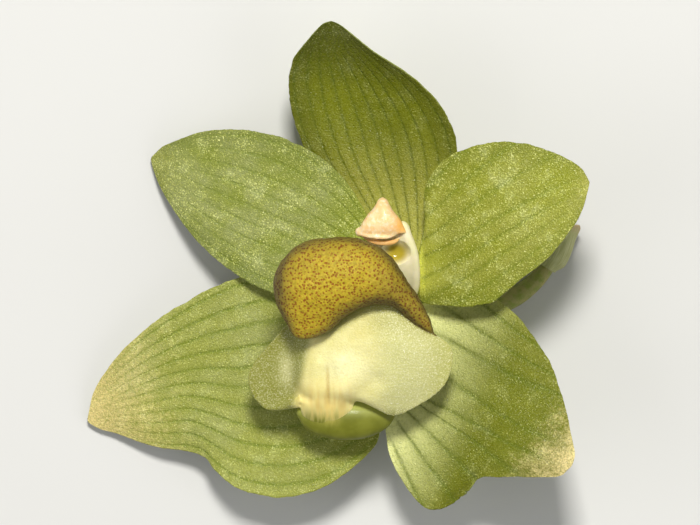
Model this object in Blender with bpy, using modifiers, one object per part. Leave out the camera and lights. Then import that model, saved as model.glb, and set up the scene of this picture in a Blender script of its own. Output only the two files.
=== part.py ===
"""One flower of a bulbophyllum orchid, as picked, lying on its back on a flat surface with its face up.

Three sepals stand behind two petals. The column stands in the middle with the anther cap on its end, and its foot
runs forward under the lip and ends in a swollen green knee. The lip stands on that knee: a short claw, a pale body
with a lobe on either side, and a thick spotted cap that arches over them. Behind the flower the ovary narrows to a curved
pedicel, which lies on the surface and ends in the bract where the flower was cut.

The nets below are in millimetres, with +X to the right and +Y to the dorsal sepal as one looks down on the
flower, and z measured from the top of the ovary.
"""

import bpy
import bmesh
import numpy
from mathutils import Vector

MM = 0.001

# Where the top of the ovary stands in the part's frame, so that the origin is under the middle of the whole
# flower and its lowest points touch z = 0
OVARY_TOP = (0.0, -0.05, 5.5)

# Thickness of the soft parts
SEPAL_THICK = 0.7
PETAL_THICK = 0.7
LIP_THICK = 0.85
FOOT_THICK = 0.7

# Mesh steps: along a blade from base to tip, across it, and round a lofted body
BLADE_ALONG = 20
BLADE_ACROSS = 12
LIP_ALONG = 20
LIP_ACROSS = 16
LOFT_ALONG = 20
LOFT_ROUND = 16


def curve_through(points, count):
    """Points at even steps of parameter on a smooth curve through the given ones."""
    points = numpy.asarray(points, dtype=float)
    padded = numpy.vstack([2 * points[0] - points[1], points, 2 * points[-1] - points[-2]])
    found = []
    for step in numpy.linspace(0, len(points) - 1, count):
        i = min(int(step), len(points) - 2)
        t = step - i
        a, b, c, d = padded[i : i + 4]
        found.append(
            b
            + 0.5 * t * (c - a)
            + t * t * (a - 2.5 * b + 2 * c - 0.5 * d)
            + t * t * t * (1.5 * (b - c) + 0.5 * (d - a))
        )
    return numpy.array(found)


def stations(rows):
    """Five points across for each (left margin, right margin, heights from left to right) of a blade."""
    net = []
    for (x0, y0), (x1, y1), heights in rows:
        net.append([(x0 + (x1 - x0) * k / 4, y0 + (y1 - y0) * k / 4, z) for k, z in enumerate(heights)])
    return net


def smooth_net(net, along, across):
    """The net of points refined to along by across points, rows from base to tip."""
    net = numpy.asarray(net, dtype=float)
    rails = [curve_through(net[:, k], along) for k in range(net.shape[1])]
    return numpy.array([curve_through(row, across) for row in numpy.stack(rails, axis=1)])


def new_object(name, bm, material, smooth=True):
    mesh = bpy.data.meshes.new(name)
    bm.to_mesh(mesh)
    bm.free()
    if smooth:
        mesh.shade_smooth()
    obj = bpy.data.objects.new(name, mesh)
    mesh.materials.append(material)
    flower.objects.link(obj)
    obj.parent = seat
    return obj


def colour(name, rgb, roughness):
    material = bpy.data.materials.new(name)
    material.use_nodes = True
    shader = material.node_tree.nodes["Principled BSDF"]
    shader.inputs["Base Color"].default_value = (*rgb, 1)
    shader.inputs["Roughness"].default_value = roughness
    shader.inputs["Metallic"].default_value = 0
    return material


def blade(name, net, thickness, material, along=BLADE_ALONG, across=BLADE_ACROSS):
    """A sheet on a smooth net, split into triangles before it is thickened, so that both faces split alike."""
    grid = smooth_net(net, along, across) * MM
    bm = bmesh.new()
    verts = [[bm.verts.new(p) for p in row] for row in grid]
    for i in range(along - 1):
        for j in range(across - 1):
            a, b, c, d = verts[i][j], verts[i][j + 1], verts[i + 1][j + 1], verts[i + 1][j]
            bm.faces.new((a, b, c))
            bm.faces.new((a, c, d))
    bm.normal_update()
    if sum(f.normal.z * f.calc_area() for f in bm.faces) < 0:
        bmesh.ops.reverse_faces(bm, faces=bm.faces)
    obj = new_object(name, bm, material)
    solid = obj.modifiers.new("thickness", "SOLIDIFY")
    solid.thickness = thickness * MM
    solid.offset = -1
    return obj


def skinned(name, rings, material, ends=True):
    """A body over rings of points in millimetres, with flat ends."""
    bm = bmesh.new()
    loops = [[bm.verts.new(point) for point in ring * MM] for ring in rings]
    for low, high in zip(loops, loops[1:]):
        for k in range(len(low)):
            after = (k + 1) % len(low)
            bm.faces.new((low[k], low[after], high[after], high[k]))
    if ends:
        bm.faces.new(list(reversed(loops[0])))
        bm.faces.new(loops[-1])
    return new_object(name, bm, material)


def loft(name, sections, reference, material, along=LOFT_ALONG, around=LOFT_ROUND, ends=True):
    """A body through (x, y, z, radius along the reference direction, radius across it)."""
    steps = curve_through(sections, along)
    turn = 2 * numpy.pi * numpy.arange(around) / around
    rings = []
    for i in range(along):
        forward = Vector(steps[min(i + 1, along - 1), :3] - steps[max(i - 1, 0), :3]).normalized()
        first = Vector(reference)
        first = (first - first.dot(forward) * forward).normalized()
        second = numpy.array(forward.cross(first))
        near = numpy.cos(turn)[:, None] * numpy.array(first) * steps[i, 3]
        rings.append(steps[i, :3] + near + numpy.sin(turn)[:, None] * second * steps[i, 4])
    return skinned(name, rings, material, ends)


def spanned(name, spans, material, along=LOFT_ALONG, around=LOFT_ROUND):
    """A body through upright ovals: (left margin, right margin, middle height, half height) as one goes along it."""
    steps = curve_through([(*left, *right, z, high) for left, right, z, high in spans], along)
    turn = 2 * numpy.pi * numpy.arange(around) / around
    rings = []
    for x0, y0, x1, y1, z, high in steps:
        middle = numpy.array(((x0 + x1) / 2, (y0 + y1) / 2, z))
        half = numpy.array(((x1 - x0) / 2, (y1 - y0) / 2, 0))
        up = numpy.array((0, 0, high))
        rings.append(middle + numpy.cos(turn)[:, None] * up + numpy.sin(turn)[:, None] * half)
    return skinned(name, rings, material)


def add_to(body, addition):
    """Joins the addition to the body with a Boolean union and keeps it only as a hidden tool."""
    union = body.modifiers.new(addition.name, "BOOLEAN")
    union.operation = "UNION"
    union.solver = "EXACT"
    union.object = addition
    addition.hide_render = True
    addition.display_type = "WIRE"
    flower.objects.unlink(addition)
    tools.objects.link(addition)


for old in list(bpy.data.objects):
    bpy.data.objects.remove(old)

flower = bpy.data.collections.new("bulbophyllum_flower")
tools = bpy.data.collections.new("joined_pieces")
bpy.context.scene.collection.children.link(flower)
bpy.context.scene.collection.children.link(tools)

seat = bpy.data.objects.new("ovary_top", None)
seat.location = Vector(OVARY_TOP) * MM
flower.objects.link(seat)

# Dorsal sepal: upright behind the column, hooded, with its right margin curled forward
dorsal_net = stations([
    ((5.1, -0.3), (7.7, -0.3), (1.0, 1.0, 1.0, 1.0, 1.0)),
    ((3.2, 2.6), (9.2, 2.6), (0.7, 0.6, 0.5, 0.6, 0.8)),
    ((0.2, 6.0), (10.4, 6.0), (0.4, 0.4, 0.3, 0.6, 1.2)),
    ((-2.3, 9.4), (10.9, 9.2), (0.3, 0.5, 0.6, 1.0, 1.9)),
    ((-3.7, 12.7), (10.4, 12.2), (0.8, 1.0, 1.2, 1.7, 2.9)),
    ((-4.3, 15.9), (8.8, 14.9), (1.8, 1.8, 2.0, 2.6, 3.9)),
    ((-4.0, 18.2), (6.3, 17.2), (2.9, 2.7, 2.8, 3.5, 4.6)),
    ((-2.9, 19.9), (3.4, 19.1), (3.8, 3.6, 3.6, 4.1, 4.8)),
    ((-1.6, 21.3), (1.2, 20.8), (4.3, 4.2, 4.2, 4.4, 4.7)),
    ((-0.9, 21.9), (0.0, 21.9), (4.5, 4.5, 4.5, 4.5, 4.5)),
])
blade("dorsal_sepal", dorsal_net, SEPAL_THICK, colour("dorsal_green", (0.20, 0.26, 0.04), 0.5))

# Lateral sepals: broad, each from beside the column's foot; the left one falls to the surface at its tip
left_sepal_net = stations([
    ((4.9, -3.8), (3.9, -14.9), (1.0, 1.0, 1.0, 1.0, 1.1)),
    ((2.1, -1.9), (3.1, -16.7), (0.5, 0.6, 0.7, 0.8, 1.0)),
    ((-1.9, -0.6), (-0.6, -19.7), (-0.1, 0.1, 0.2, 0.5, 0.9)),
    ((-6.0, -0.5), (-4.6, -20.9), (-0.7, -0.5, -0.3, 0.1, 0.7)),
    ((-9.4, -1.3), (-8.6, -20.3), (-1.2, -1.1, -1.0, -0.7, 0.0)),
    ((-12.7, -2.8), (-11.2, -18.4), (-1.7, -1.8, -1.8, -1.6, -1.2)),
    ((-15.9, -4.7), (-12.9, -17.0), (-2.2, -2.4, -2.5, -2.3, -2.6)),
    ((-19.0, -7.3), (-16.6, -16.4), (-2.9, -3.1, -3.2, -3.2, -3.6)),
    ((-21.6, -10.6), (-20.2, -15.2), (-4.0, -4.1, -4.1, -4.2, -4.5)),
    ((-22.7, -13.4), (-22.5, -14.7), (-4.8, -4.8, -4.8, -4.8, -4.8)),
])
blade("lateral_sepal_left", left_sepal_net, SEPAL_THICK, colour("left_sepal_green", (0.42, 0.43, 0.14), 0.5))

right_sepal_net = stations([
    ((4.4, -14.9), (6.6, -3.8), (1.1, 1.0, 1.0, 1.0, 1.0)),
    ((4.8, -17.2), (10.2, -2.7), (1.4, 1.4, 1.5, 1.6, 1.6)),
    ((6.1, -19.7), (13.6, -2.7), (1.7, 2.1, 2.4, 2.6, 2.6)),
    ((8.0, -21.9), (15.9, -4.3), (1.8, 2.7, 3.3, 3.6, 3.6)),
    ((10.3, -21.6), (17.8, -6.6), (1.9, 3.6, 4.3, 4.6, 4.5)),
    ((12.4, -19.3), (19.3, -9.1), (3.6, 4.8, 5.3, 5.5, 5.4)),
    ((14.8, -19.0), (20.3, -12.0), (5.0, 5.9, 6.3, 6.4, 6.2)),
    ((17.4, -19.0), (20.9, -14.6), (6.2, 6.9, 7.2, 7.2, 6.9)),
    ((19.8, -18.9), (21.3, -16.6), (7.2, 7.5, 7.6, 7.6, 7.4)),
    ((20.7, -18.4), (21.3, -17.6), (7.6, 7.7, 7.7, 7.7, 7.6)),
])
blade("lateral_sepal_right", right_sepal_net, SEPAL_THICK, colour("right_sepal_green", (0.42, 0.45, 0.12), 0.5))

# Petals: in front of the sepals, ovate; the left one falls to the surface at its tip, the right one rises
left_petal_net = stations([
    ((4.5, -2.9), (4.5, -0.4), (2.0, 2.0, 2.0, 2.0, 2.0)),
    ((2.8, -3.4), (3.3, 3.2), (2.1, 1.9, 1.9, 2.0, 2.3)),
    ((-1.0, -3.4), (1.2, 7.0), (1.9, 1.8, 1.8, 2.0, 2.6)),
    ((-4.4, -2.9), (-1.5, 9.7), (1.3, 1.4, 1.5, 1.8, 2.4)),
    ((-7.6, -1.7), (-5.0, 11.5), (0.5, 0.7, 0.9, 1.2, 1.8)),
    ((-10.5, 0.2), (-8.6, 12.2), (-0.7, -0.3, -0.1, 0.2, 0.7)),
    ((-13.1, 2.7), (-12.0, 12.1), (-2.1, -1.7, -1.5, -1.3, -1.0)),
    ((-15.3, 5.8), (-14.8, 11.2), (-3.6, -3.3, -3.1, -3.0, -2.9)),
    ((-17.0, 9.1), (-16.7, 10.3), (-5.0, -4.9, -4.9, -4.9, -4.9)),
])
blade("petal_left", left_petal_net, PETAL_THICK, colour("left_petal_green", (0.40, 0.46, 0.20), 0.5))

right_petal_net = stations([
    ((8.0, -2.9), (8.0, -0.4), (2.0, 2.0, 2.0, 2.0, 2.0)),
    ((7.9, -3.4), (7.8, 3.4), (2.9, 2.6, 2.5, 2.6, 3.0)),
    ((9.4, -3.6), (8.0, 7.0), (4.0, 3.7, 3.6, 4.0, 4.8)),
    ((11.6, -3.7), (9.6, 9.4), (5.0, 4.9, 5.0, 5.3, 6.0)),
    ((13.9, -3.3), (12.5, 10.7), (6.0, 6.1, 6.3, 6.6, 7.0)),
    ((16.2, -1.5), (15.6, 11.05), (7.1, 7.3, 7.5, 7.6, 7.7)),
    ((19.0, 0.8), (18.9, 10.3), (8.2, 8.3, 8.4, 8.4, 8.3)),
    ((21.4, 3.9), (21.3, 9.1), (9.0, 9.0, 9.0, 9.0, 8.9)),
    ((22.6, 6.8), (22.5, 8.0), (9.2, 9.2, 9.2, 9.2, 9.2)),
])
blade("petal_right", right_petal_net, PETAL_THICK, colour("right_petal_green", (0.38, 0.44, 0.13), 0.5))

# Lip: rows from the claw on the foot up to the joint under the cap, left lobe to right lobe
lip_net = [
    [(-3.3, -13.1, 5.6), (-2.7, -13.3, 5.75), (-2.2, -13.4, 5.9), (-1.5, -13.5, 6.05),
     (-0.75, -13.55, 6.1), (0, -13.5, 6.12), (0.7, -13.35, 6.12), (1.3, -13.1, 6.1)],
    [(-3.7, -12.1, 5.7), (-3, -12.3, 5.95), (-2.4, -12.4, 6.15), (-1.6, -12.45, 6.3),
     (-0.7, -12.45, 6.2), (0.3, -12.4, 6.3), (1.2, -12.3, 6.2), (2, -12.15, 6.0)],
    [(-6, -13, 4.5), (-4.7, -12, 4.7), (-3.7, -11.4, 5.2), (-2.5, -11.2, 6.6),
     (-0.8, -11.2, 6.8), (1.1, -11.4, 7.1), (3, -12.1, 6.8), (4.9, -13.5, 5.8)],
    [(-7.4, -11.9, 4.4), (-5.7, -10.9, 4.7), (-4.1, -10.2, 5.2), (-2.8, -9.9, 6.8),
     (-0.8, -9.8, 7.1), (1.9, -10, 7.6), (4.8, -10.9, 7.6), (7.6, -12.45, 6.2)],
    [(-8, -10.2, 4.4), (-6, -9.3, 4.7), (-4.2, -8.7, 5.3), (-2.8, -8.3, 6.9),
     (-0.5, -8.1, 7.6), (2.6, -8.2, 8.2), (6, -9.1, 8.2), (9.6, -10.9, 6.7)],
    [(-7.4, -8.7, 4.5), (-5.6, -7.9, 4.8), (-4, -7.2, 5.4), (-2.7, -6.9, 6.9),
     (0.1, -6.6, 7.9), (3.1, -6.6, 8.6), (6.4, -7.3, 8.7), (10.4, -8.9, 7)],
    [(-6.3, -7.4, 4.8), (-4.8, -6.5, 5.1), (-3.5, -5.9, 5.7), (-2.2, -5.5, 7),
     (0.6, -5.1, 7.9), (3.4, -5, 8.5), (6.4, -5.6, 8.6), (10.2, -7.2, 7.3)],
    [(-4.8, -5.6, 5.2), (-3.6, -4.8, 5.5), (-2.5, -4.2, 6.1), (-1.2, -3.8, 7.1),
     (1, -3.5, 7.8), (3.2, -3.4, 8.2), (5.4, -3.9, 8.2), (8.4, -5.9, 7.6)],
]
lip = blade("lip", lip_net, LIP_THICK, colour("lip_cream", (0.70, 0.72, 0.36), 0.4), LIP_ALONG, LIP_ACROSS)

# The lip's cap: a thick arch from its blunt left tip to its thin right end, outer margin and inner margin
lip_cap = spanned("lip_cap", [
    ((-3.35, -6.62), (-2.85, -6.68), 8.5, 0.15),
    ((-3.85, -6.25), (-2.0, -6.5), 8.5, 0.85),
    ((-4.4, -5.45), (-0.75, -5.95), 8.6, 1.4),
    ((-5.0, -4.4), (0.35, -4.95), 8.8, 1.8),
    ((-5.5, -3.0), (1.3, -4.25), 9.05, 2.15),
    ((-5.65, -1.4), (2.1, -3.85), 9.2, 2.35),
    ((-4.95, 0.35), (2.8, -3.65), 9.3, 2.45),
    ((-3.35, 1.85), (3.4, -3.52), 9.35, 2.45),
    ((-1.1, 2.45), (3.9, -3.5), 9.35, 2.4),
    ((1.3, 2.5), (4.35, -3.5), 9.25, 2.35),
    ((3.4, 1.9), (4.8, -3.55), 9.1, 2.2),
    ((4.9, 0.75), (5.25, -3.75), 8.95, 1.95),
    ((5.9, -0.65), (5.75, -4.15), 8.75, 1.6),
    ((6.8, -2.05), (6.45, -4.75), 8.5, 1.2),
    ((7.7, -3.5), (7.25, -5.4), 8.2, 0.85),
    ((8.4, -4.9), (8.1, -5.95), 7.9, 0.5),
    ((8.7, -6.05), (8.6, -6.2), 7.7, 0.15),
], lip.data.materials[0], 24, 16)
add_to(lip, lip_cap)

# Column: from its base on the ovary to the seat of the anther cap, radii across and front to back
column = loft("column", [
    (6.25, -2.0, 0.35, 1.2, 1.05),
    (6.2, -1.9, 1.6, 1.25, 1.1),
    (5.9, -0.9, 3.2, 1.5, 1.25),
    (5.45, 0.7, 4.5, 1.85, 1.35),
    (4.95, 2.3, 5.0, 1.8, 1.05),
], (1, 0, 0), colour("column_cream", (0.72, 0.66, 0.42), 0.35))

# The column's foot: a strap that runs forward under the lip
foot_net = [
    [(5.2, -2.2, 2.4), (5.7, -2.2, 2.4), (6.2, -2.2, 2.4), (6.7, -2.2, 2.4), (7.2, -2.2, 2.4)],
    [(3.9, -5.5, 2.7), (4.5, -5.6, 2.3), (5.2, -5.7, 2.2), (5.9, -5.6, 2.3), (6.5, -5.4, 2.7)],
    [(2.0, -8.8, 3.2), (3.0, -9.1, 2.6), (4.0, -9.3, 2.5), (5.0, -9.1, 2.6), (5.9, -8.7, 3.1)],
    [(-0.9, -11.4, 3.8), (0.5, -11.9, 3.2), (2.0, -12.1, 3.1), (3.5, -11.9, 3.2), (4.8, -11.3, 3.6)],
    [(-1.9, -13.0, 4.3), (-0.5, -13.5, 4.0), (1.0, -13.7, 3.9), (2.6, -13.5, 4.0), (3.9, -13.0, 4.2)],
]
column_foot = blade("column_foot", foot_net, FOOT_THICK, column.data.materials[0], 16, 10)
add_to(column, column_foot)

# The swollen knee at the foot's end, on which the lip's claw stands: a bean from left to right
foot_knee = loft("foot_knee", [
    (-3.6, -12.95, 4.2, 0.15, 0.2),
    (-3.2, -13.1, 4.2, 0.55, 0.7),
    (-2.2, -13.4, 4.1, 0.95, 1.5),
    (-0.6, -13.7, 4.0, 1.25, 1.85),
    (0.9, -13.8, 4.0, 1.3, 1.92),
    (2.4, -13.75, 4.0, 1.25, 1.8),
    (3.9, -13.5, 4.1, 0.95, 1.4),
    (4.8, -13.3, 4.2, 0.55, 0.8),
    (5.2, -13.2, 4.2, 0.15, 0.25),
], (0, 0, 1), column.data.materials[0])
add_to(column, foot_knee)

# Anther cap: a blunt hood over the column's end, drawn out to a point
loft("anther_cap", [
    (4.1, 2.4, 6.55, 1.4, 0.4),
    (4.05, 2.8, 6.4, 2.1, 0.8),
    (4.05, 3.2, 6.3, 2.1, 1.1),
    (4.1, 4.0, 6.3, 1.7, 1.2),
    (4.1, 4.7, 6.45, 1.15, 1.0),
    (4.1, 5.4, 6.5, 0.55, 0.6),
    (4.1, 6.1, 6.5, 0.15, 0.15),
], (1, 0, 0), colour("anther_peach", (0.86, 0.72, 0.50), 0.35), 14)

# Ovary and pedicel: a round stalk, widest at the flower, that turns to the right and lies on the surface
PEDICEL_POINTS = 44
pedicel_route = [
    (6.25, -2.0, 0.0, 2.1),
    (6.35, -2.0, -0.9, 1.6),
    (7.0, -2.3, -2.4, 1.3),
    (8.8, -3.0, -3.7, 1.15),
    (12.0, -3.7, -4.4, 1.05),
    (15.2, -3.3, -4.45, 1.0),
    (17.9, -1.5, -4.2, 0.85),
    (19.8, 1.2, -3.95, 0.7),
    (20.8, 4.6, -3.95, 0.7),
]
pedicel_curve = bpy.data.curves.new("pedicel_curve", "CURVE")
pedicel_curve.dimensions = "3D"
pedicel_curve.bevel_depth = MM
pedicel_curve.bevel_resolution = 3
pedicel_curve.use_fill_caps = True
pedicel_line = pedicel_curve.splines.new("POLY")
pedicel_line.points.add(PEDICEL_POINTS - 1)
for point, (x, y, z, radius) in zip(pedicel_line.points, curve_through(pedicel_route, PEDICEL_POINTS)):
    point.co = (x * MM, y * MM, z * MM, 1)
    point.radius = radius
pedicel = bpy.data.objects.new("pedicel", pedicel_curve)
pedicel_curve.materials.append(colour("stalk_green", (0.36, 0.42, 0.16), 0.5))
flower.objects.link(pedicel)
pedicel.parent = seat

# Bract: a short funnel of thin skin round the pedicel where it was cut, open at both ends
BRACT_THICK = 0.5
bract = loft("bract", [
    (18.95, -0.2, -3.95, 1.05, 1.05),
    (19.8, 1.2, -3.9, 1.0, 1.0),
    (20.4, 2.8, -3.9, 0.98, 0.98),
    (20.75, 4.1, -3.85, 1.05, 1.05),
], (0, 0, 1), colour("bract_straw", (0.48, 0.46, 0.28), 0.7), 10, ends=False)
skin = bract.modifiers.new("thickness", "SOLIDIFY")
skin.thickness = BRACT_THICK * MM
skin.offset = 1
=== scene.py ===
import math

import bmesh
import bpy
import numpy as np
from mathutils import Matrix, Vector, noise


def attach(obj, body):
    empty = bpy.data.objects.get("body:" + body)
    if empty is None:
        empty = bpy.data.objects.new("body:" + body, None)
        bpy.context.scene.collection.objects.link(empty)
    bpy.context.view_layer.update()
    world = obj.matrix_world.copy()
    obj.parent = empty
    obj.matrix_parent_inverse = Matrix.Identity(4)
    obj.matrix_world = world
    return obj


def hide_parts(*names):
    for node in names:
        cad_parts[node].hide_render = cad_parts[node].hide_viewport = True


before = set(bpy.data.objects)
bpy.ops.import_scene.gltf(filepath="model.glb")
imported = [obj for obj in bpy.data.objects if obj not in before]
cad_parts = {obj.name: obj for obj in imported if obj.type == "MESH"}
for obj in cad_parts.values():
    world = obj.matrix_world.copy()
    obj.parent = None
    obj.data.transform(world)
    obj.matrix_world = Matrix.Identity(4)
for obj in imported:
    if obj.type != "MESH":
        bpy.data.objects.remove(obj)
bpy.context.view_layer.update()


# Ovary and pedicel: the flower's own stalk, soft green flesh with six shallow ribs where it is the ovary.
# Its round top carries every other organ. It bends over and lies on the surface to its cut end.

MM = 0.001
OVARY_TOP = np.array((0.0, -0.05, 5.5))


def curve_through(points, count):
    """Points at even steps of parameter on a smooth curve through the given ones."""
    points = np.asarray(points, dtype=float)
    padded = np.concatenate([[2 * points[0] - points[1]], points, [2 * points[-1] - points[-2]]])
    at = np.linspace(0, len(points) - 1, count)
    i = np.minimum(at.astype(int), len(points) - 2)
    t = (at - i).reshape(-1, *([1] * (points.ndim - 1)))
    a, b, c, d = padded[i], padded[i + 1], padded[i + 2], padded[i + 3]
    bend = t * t * (a - 2.5 * b + 2 * c - 0.5 * d)
    return b + 0.5 * t * (c - a) + bend + t**3 * (1.5 * (b - c) + 0.5 * (d - a))


def smooth_step(low, high, value):
    t = np.clip((value - low) / (high - low), 0, 1)
    return t * t * (3 - 2 * t)


def piece_from(name, points, faces, marks=None):
    """A smooth mesh of points in millimetres from the ovary's top, with numbers stored at each point."""
    mesh = bpy.data.meshes.new(name)
    mesh.from_pydata(((points + OVARY_TOP) * MM).tolist(), [], faces)
    for mark, values in (marks or {}).items():
        stored = mesh.attributes.new(mark, "FLOAT_VECTOR", "POINT")
        stored.data.foreach_set("vector", np.asarray(values, dtype=np.float32).ravel())
    mesh.shade_smooth()
    mesh.validate()
    piece = bpy.data.objects.new(name, mesh)
    bpy.context.collection.objects.link(piece)
    return piece


def grid_faces(rows, columns, start=0, closed=False):
    """Quads between neighbouring rows of points; a closed grid joins its last column to its first."""
    i = np.arange(rows - 1)[:, None]
    j = np.arange(columns if closed else columns - 1)[None, :]
    a = start + i * columns + j
    b = start + i * columns + (j + 1) % columns
    return np.stack([a, b, b + columns, a + columns], axis=-1).reshape(-1, 4)


def tube_rings(sections, along, around, reference):
    """Steps on a curve through (x, y, z, radius, radius), both radii's directions, and turns round it."""
    steps = curve_through(sections, along)
    forward = np.gradient(steps[:, :3], axis=0)
    forward /= np.linalg.norm(forward, axis=1, keepdims=True)
    reference = np.array(reference, dtype=float)
    first = reference - (forward @ reference)[:, None] * forward
    first /= np.linalg.norm(first, axis=1, keepdims=True)
    second = np.cross(forward, first)
    turn = np.linspace(0, 2 * math.pi, around, endpoint=False)
    return steps, first, second, turn


def ring_body(name, rings):
    """A smooth body over rings of points, closed at both ends; it stores how far along and round it is."""
    along, around = rings.shape[:2]
    points = np.concatenate([rings.reshape(-1, 3), rings[:1].mean(axis=1), rings[-1:].mean(axis=1)])
    faces = grid_faces(along, around, closed=True).tolist()
    last = (along - 1) * around
    for k in range(around):
        after = (k + 1) % around
        faces.append((along * around, after, k))
        faces.append((along * around + 1, last + k, last + after))
    spread = np.zeros((len(points), 3))
    spread[: along * around, 0] = np.repeat(np.linspace(0, 1, along), around)
    spread[: along * around, 1] = np.tile(np.arange(around) / around, along)
    spread[-1, 0] = 1
    return piece_from(name, points, faces, {"spread": spread})


def capped_tube(name, sections, along, around, reference, swell=None):
    """A round body on a curve; swell(share of the length, turn) multiplies its radii."""
    steps, first, second, turn = tube_rings(sections, along, around, reference)
    v = np.linspace(0, 1, along)[:, None]
    grow = np.ones((along, around)) if swell is None else swell(v, turn[None, :])
    across = first[:, None] * (np.cos(turn)[None, :, None] * steps[:, 3][:, None, None])
    deep = second[:, None] * (np.sin(turn)[None, :, None] * steps[:, 4][:, None, None])
    return ring_body(name, steps[:, None, :3] + (across + deep) * grow[..., None])


class Link:
    """A socket of a material, so that shader maths reads as Python; numbers may stand in for sockets."""

    def __init__(self, tree, socket=None):
        self.tree = tree
        self.socket = socket

    def node(self, kind, settings=None, inputs=None, out=0):
        made = self.tree.nodes.new(kind)
        for key, value in (settings or {}).items():
            setattr(made, key, value)
        for key, value in (inputs or {}).items():
            if isinstance(value, Link):
                self.tree.links.new(value.socket, made.inputs[key])
            else:
                made.inputs[key].default_value = value
        return Link(self.tree, made.outputs[out])

    def math(self, operation, *values):
        return self.node("ShaderNodeMath", {"operation": operation}, dict(enumerate(values)))

    def __add__(self, other):
        return self.math("ADD", self, other)

    def __sub__(self, other):
        return self.math("SUBTRACT", self, other)

    def __rsub__(self, other):
        return self.math("SUBTRACT", other, self)

    def __mul__(self, other):
        return self.math("MULTIPLY", self, other)

    __radd__ = __add__
    __rmul__ = __mul__

    def fract(self):
        return self.math("FRACT", self)

    def size(self):
        return self.math("ABSOLUTE", self)

    def ramp(self, low, high, start=0.0, end=1.0):
        """A smooth step from start, where this is low, to end, where it is high."""
        return self.node(
            "ShaderNodeMapRange",
            {"interpolation_type": "SMOOTHSTEP"},
            {0: self, 1: low, 2: high, 3: start, 4: end},
        )

    def tint(self, below, above):
        """The colour below where this is 0, and above laid over it where this is 1."""
        return self.node("ShaderNodeMix", {"data_type": "RGBA"}, {0: self, 6: below, 7: above}, out=2)

    def axis(self, name):
        return self.node("ShaderNodeSeparateXYZ", None, {0: self}, out=name)


def new_skin(name, roughness, subsurface=0.0, coat=0.0):
    """A material, its start for adding nodes, its shader and its place in millimetres."""
    material = bpy.data.materials.new(name)
    material.use_nodes = True
    shader = material.node_tree.nodes["Principled BSDF"]
    shader.inputs["Roughness"].default_value = roughness
    shader.inputs["Subsurface Weight"].default_value = subsurface
    shader.inputs["Subsurface Radius"].default_value = (1.0, 0.9, 0.35)
    shader.inputs["Subsurface Scale"].default_value = 0.0008
    shader.inputs["Specular IOR Level"].default_value = 0.18
    shader.inputs["Coat Weight"].default_value = coat
    shader.inputs["Coat Roughness"].default_value = 0.12
    start = Link(material.node_tree)
    place = start.node("ShaderNodeTexCoord", out="Object")
    scaled = start.node("ShaderNodeVectorMath", {"operation": "SCALE"}, {0: place, "Scale": 1000.0})
    return material, start, shader, scaled


def stored_at(start, mark):
    """The three numbers stored at each point of a mesh under a name."""
    return start.node("ShaderNodeAttribute", {"attribute_name": mark}, out="Vector")


def noise_at(place, scale, detail, roughness=0.5):
    """Soft noise around 0.5, with about scale patches to a millimetre."""
    settings = {"Vector": place, "Scale": scale, "Detail": detail, "Roughness": roughness}
    return place.node("ShaderNodeTexNoise", None, settings)


def cells_at(place, scale, randomness=1.0):
    """The distance to the middle of the nearest cell, and one number for each cell."""
    settings = {"Vector": place, "Scale": scale, "Randomness": randomness}
    cells = place.node("ShaderNodeTexVoronoi", None, settings)
    cell_colour = Link(cells.tree, cells.socket.node.outputs["Color"])
    return cells, cells.node("ShaderNodeSeparateColor", None, {0: cell_colour})


def stretched(place, by):
    return place.node("ShaderNodeVectorMath", {"operation": "MULTIPLY"}, {0: place, 1: by})


def feed(start, shader, colour, roughness=None, height=None, depth=0.02):
    """Links a colour, a roughness and a height to the shader; depth is in millimetres for a height of 1."""
    start.tree.links.new(colour.socket, shader.inputs["Base Color"])
    if roughness is not None:
        start.tree.links.new(roughness.socket, shader.inputs["Roughness"])
    if height is not None:
        bump = start.node("ShaderNodeBump", None, {"Distance": depth * MM, "Height": height})
        start.tree.links.new(bump.socket, shader.inputs["Normal"])


def stalk_skin():
    material, start, shader, place = new_skin("stalk_skin", 0.45, 0.1)
    run = stored_at(start, "spread").axis("X")
    fleck = noise_at(place, 1.6, 4.0)
    grain, _ = cells_at(place, 6.0)
    colour = run.ramp(0.0, 0.7).tint((0.40, 0.46, 0.13, 1), (0.36, 0.33, 0.12, 1))
    colour = fleck.ramp(0.35, 0.7).tint(colour, (0.24, 0.29, 0.06, 1))
    colour = run.ramp(0.985, 1.0).tint(colour, (0.20, 0.12, 0.05, 1))
    feed(start, shader, colour, fleck * 0.25 + 0.35, grain, 0.03)
    return material


def ribs(v, turn):
    fade = np.clip(1 - v * 1.8, 0, 1)
    return 1 + 0.07 * fade * np.cos(6 * turn) + 0.015 * np.sin(9 * v * math.pi + 2 * turn)


pedicel = capped_tube("ovary_and_pedicel", [
    (6.25, -2.0, 0.0, 1.95, 1.95),
    (6.35, -2.0, -0.9, 1.5, 1.5),
    (7.0, -2.3, -2.4, 1.25, 1.25),
    (8.8, -3.0, -3.7, 1.1, 1.1),
    (12.0, -3.7, -4.4, 1.0, 1.0),
    (15.2, -3.3, -4.45, 0.95, 0.95),
    (17.9, -1.5, -4.2, 0.8, 0.8),
    (19.8, 1.2, -3.95, 0.68, 0.68),
    (20.8, 4.6, -3.95, 0.66, 0.66),
], 160, 60, (1, 0.2, 0), ribs)
pedicel.data.materials.append(stalk_skin())
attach(pedicel, "root")
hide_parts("pedicel")


# Bract: a short sheath of thin, dry, straw-green skin that stands round the cut end of the pedicel.
# Its mouth is cut slantwise by growth, with a ragged edge, and fine fibres run along it.

BRACT_SKIN = 0.32


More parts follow.
